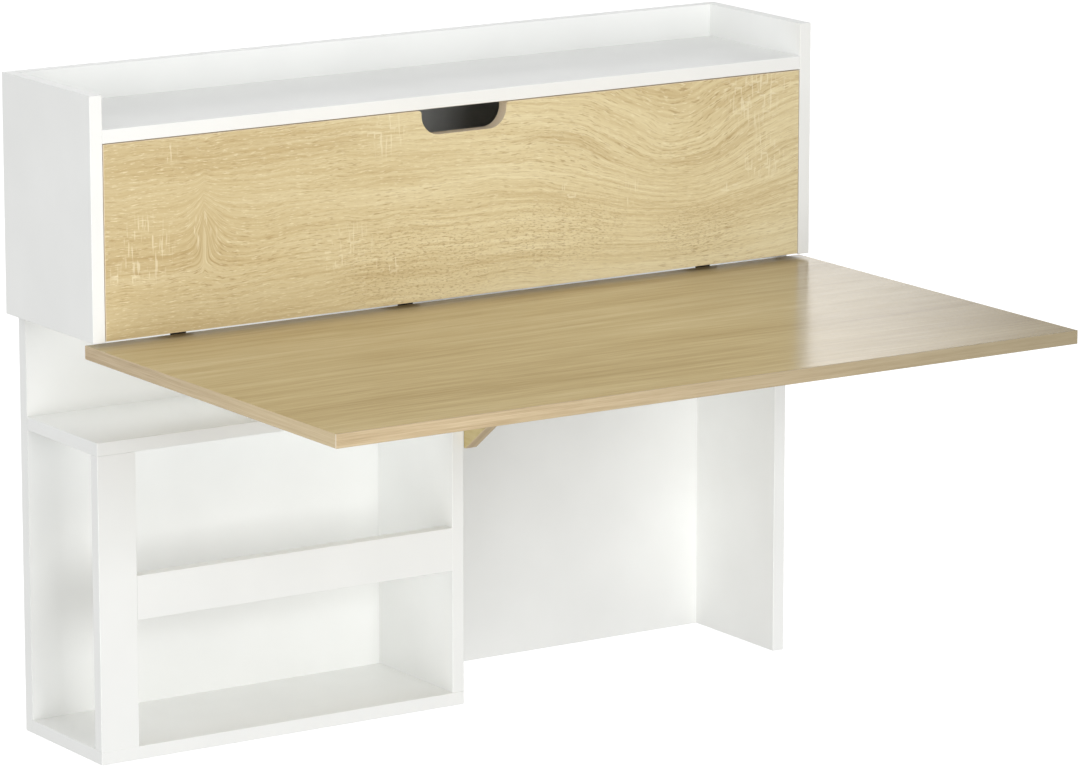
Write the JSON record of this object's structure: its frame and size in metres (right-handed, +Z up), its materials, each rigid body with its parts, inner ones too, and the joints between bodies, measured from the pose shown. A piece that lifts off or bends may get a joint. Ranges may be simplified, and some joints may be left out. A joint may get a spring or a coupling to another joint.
{
  "type": "fold down wall desk",
  "caption": "Wall-hung desk: cabinet with an open tray and a drop flap above a fold-down desktop on a folding bracket, with an open shelf unit below.",
  "frame": {"origin": "centre of the four wall screw holes, on the back face of the back panel", "axes": "+X to the right along the cabinet, +Y into the wall, +Z up"},
  "size_m": [1, 0.739, 0.79],
  "materials": {
    "white_laminate": "white melamine laminate, satin",
    "oak_flap": "rough-sawn light oak decor, satin",
    "oak_desktop": "light oak decor, semi-gloss",
    "oak_edging": "oak decor edging",
    "oak_bracket": "light oak decor, satin",
    "black_steel": "black lacquer",
    "zinc_steel": "zinc plated",
    "white_plastic": "moulded",
    "dark_magnet": "ferrite",
    "beech_dowel": "fluted beech"
  },
  "bodies": {
    "carcass": {"back_panel": "white_laminate", "back_panel_screws": "zinc_steel", "cabinet_floor": "white_laminate", "cabinet_floor_dowels": "beech_dowel", "cabinet_left_side": "white_laminate", "cabinet_right_side": "white_laminate", "cam_bolts": "zinc_steel", "cam_locks": "zinc_steel", "catch_magnets": "dark_magnet", "catch_screws": "zinc_steel", "desk_hinge_cabinet_screws": "black_steel", "desk_hinge_left_cabinet_leaf": "black_steel", "desk_hinge_left_pin": "black_steel", "desk_hinge_middle_cabinet_leaf": "black_steel", "desk_hinge_middle_pin": "black_steel", "desk_hinge_right_cabinet_leaf": "black_steel", "desk_hinge_right_pin": "black_steel", "divider": "white_laminate", "divider_dowels": "beech_dowel", "end_panel_dowels": "beech_dowel", "flap_pivot_bush_left": "white_plastic", "flap_pivot_bush_right": "white_plastic", "magnetic_catch_left": "white_plastic", "magnetic_catch_right": "white_plastic", "rail": "white_laminate", "rail_dowels": "beech_dowel", "right_end_panel": "white_laminate", "stile": "white_laminate", "stile_dowels": "beech_dowel", "tray_board": "white_laminate", "tray_dowels": "beech_dowel", "unit_bottom_board": "white_laminate", "unit_top_board": "white_laminate"},
    "desktop": {"desktop": "oak_desktop", "desktop_front_edging": "oak_edging", "desk_hinge_desk_screws": "black_steel", "bracket_hinge_desk_screws": "zinc_steel", "desk_hinge_left_desk_leaf": "black_steel", "desk_hinge_middle_desk_leaf": "black_steel", "desk_hinge_right_desk_leaf": "black_steel", "bracket_hinge_rear_desk_leaf": "zinc_steel", "bracket_hinge_rear_pin": "zinc_steel", "bracket_hinge_front_desk_leaf": "zinc_steel", "bracket_hinge_front_pin": "zinc_steel"},
    "bracket": {"bracket": "oak_bracket", "bracket_hinge_bracket_screws": "zinc_steel", "bracket_hinge_rear_bracket_leaf": "zinc_steel", "bracket_hinge_front_bracket_leaf": "zinc_steel"},
    "flap": {"flap": "oak_flap", "flap_pivot_pin_left": "zinc_steel", "flap_pivot_pin_right": "zinc_steel", "strike_plate_left": "zinc_steel", "strike_plate_right": "zinc_steel", "strike_screws": "zinc_steel"}
  },
  "joints": [
    {"name": "desktop_fold", "type": "hinge", "parent": "carcass", "child": "desktop", "pos_m": [0, -0.197, -0.1385], "axis": [1, 0, 0], "range_deg": [0, 90]},
    {"name": "bracket_fold", "type": "hinge", "parent": "desktop", "child": "bracket", "pos_m": [0.0335, -0.3, -0.1465], "axis": [0, -1, 0], "range_deg": [0, 90]},
    {"name": "flap_open", "type": "hinge", "parent": "carcass", "child": "flap", "pos_m": [0, -0.201, -0.1135], "axis": [1, 0, 0], "range_deg": [0, 90]}
  ],
  "couplings": [
    {"joint": "bracket_fold", "follows": "desktop_fold", "ratio": 1}
  ]
}
